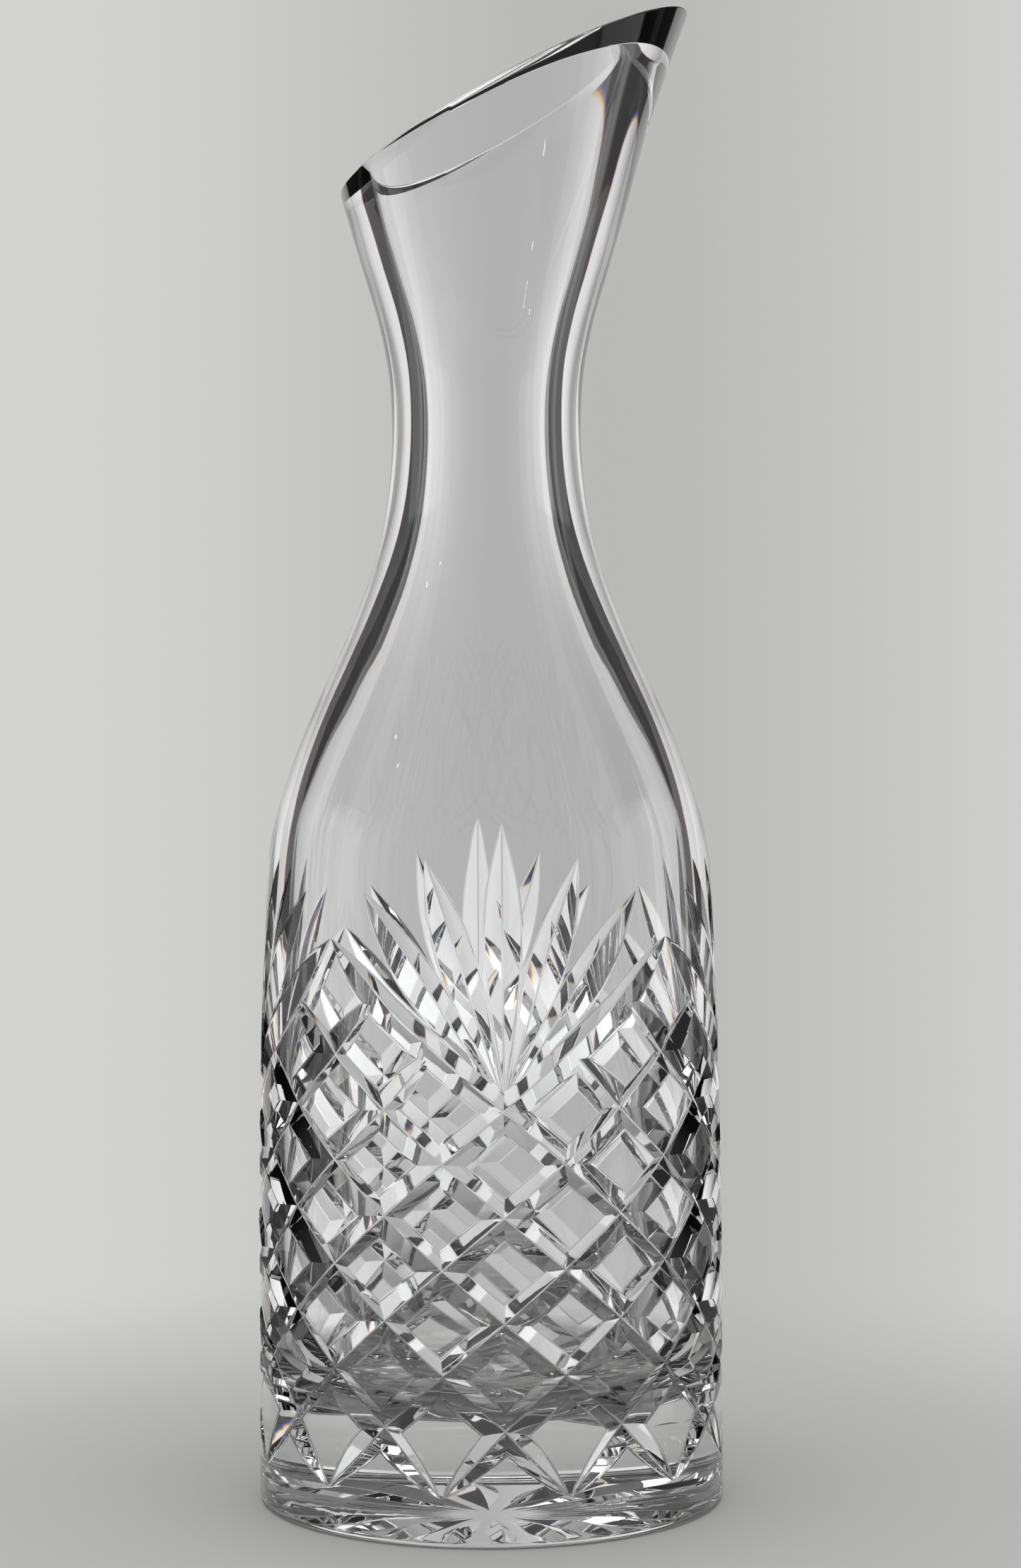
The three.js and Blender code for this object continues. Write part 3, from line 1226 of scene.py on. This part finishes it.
def set_camera(scene):
    """A level view from in front, a little to the left, with the barrel left of the middle."""
    distance = 590 * MM
    height = 137.8 * MM
    azimuth = math.radians(-3.3)
    roll = math.radians(-0.3)
    data = bpy.data.cameras.new("camera")
    data.sensor_width = 36.0
    data.lens = 65.8
    data.shift_x = 0.01409
    data.shift_y = 0.02456
    camera = bpy.data.objects.new("camera", data)
    bpy.context.collection.objects.link(camera)
    turn = Euler((math.pi / 2, 0, azimuth)).to_matrix()
    turn = turn @ Matrix.Rotation(roll, 3, "Z")
    camera.matrix_world = Matrix.LocRotScale(
        Vector((distance * math.sin(azimuth), -distance * math.cos(azimuth), height)),
        turn.to_quaternion(),
        None,
    )
    scene.camera = camera


class CARAFE_PT_panel(bpy.types.Panel):
    """Lists the carafe's operators and settings"""

    bl_idname = "CARAFE_PT_panel"
    bl_label = "Cut crystal carafe"
    bl_space_type = "VIEW_3D"
    bl_region_type = "UI"
    bl_category = "Carafe"

    def draw(self, context):
        layout = self.layout
        for group in ("carafe_sizes", "carafe_glass", "carafe_stage"):
            box = layout.box()
            settings = getattr(context.scene, group)
            for name in settings.bl_rna.properties.keys():
                if name not in ("rna_type", "name"):
                    box.prop(settings, name)
        layout.operator("carafe.make_crystal")
        layout.operator("carafe.lay_stage")


CLASSES = (
    CarafeSizes,
    CarafeGlass,
    StageLook,
    CARAFE_OT_make_crystal,
    CARAFE_OT_lay_stage,
    CARAFE_PT_panel,
)


def register():
    for cls in CLASSES:
        bpy.utils.register_class(cls)
    bpy.types.Scene.carafe_sizes = bpy.props.PointerProperty(type=CarafeSizes)
    bpy.types.Scene.carafe_glass = bpy.props.PointerProperty(type=CarafeGlass)
    bpy.types.Scene.carafe_stage = bpy.props.PointerProperty(type=StageLook)


def unregister():
    del bpy.types.Scene.carafe_stage
    del bpy.types.Scene.carafe_glass
    del bpy.types.Scene.carafe_sizes
    for cls in reversed(CLASSES):
        bpy.utils.unregister_class(cls)


def main():
    register()
    bpy.ops.carafe.make_crystal()
    bpy.ops.carafe.lay_stage()


if __name__ == "__main__":
    main()
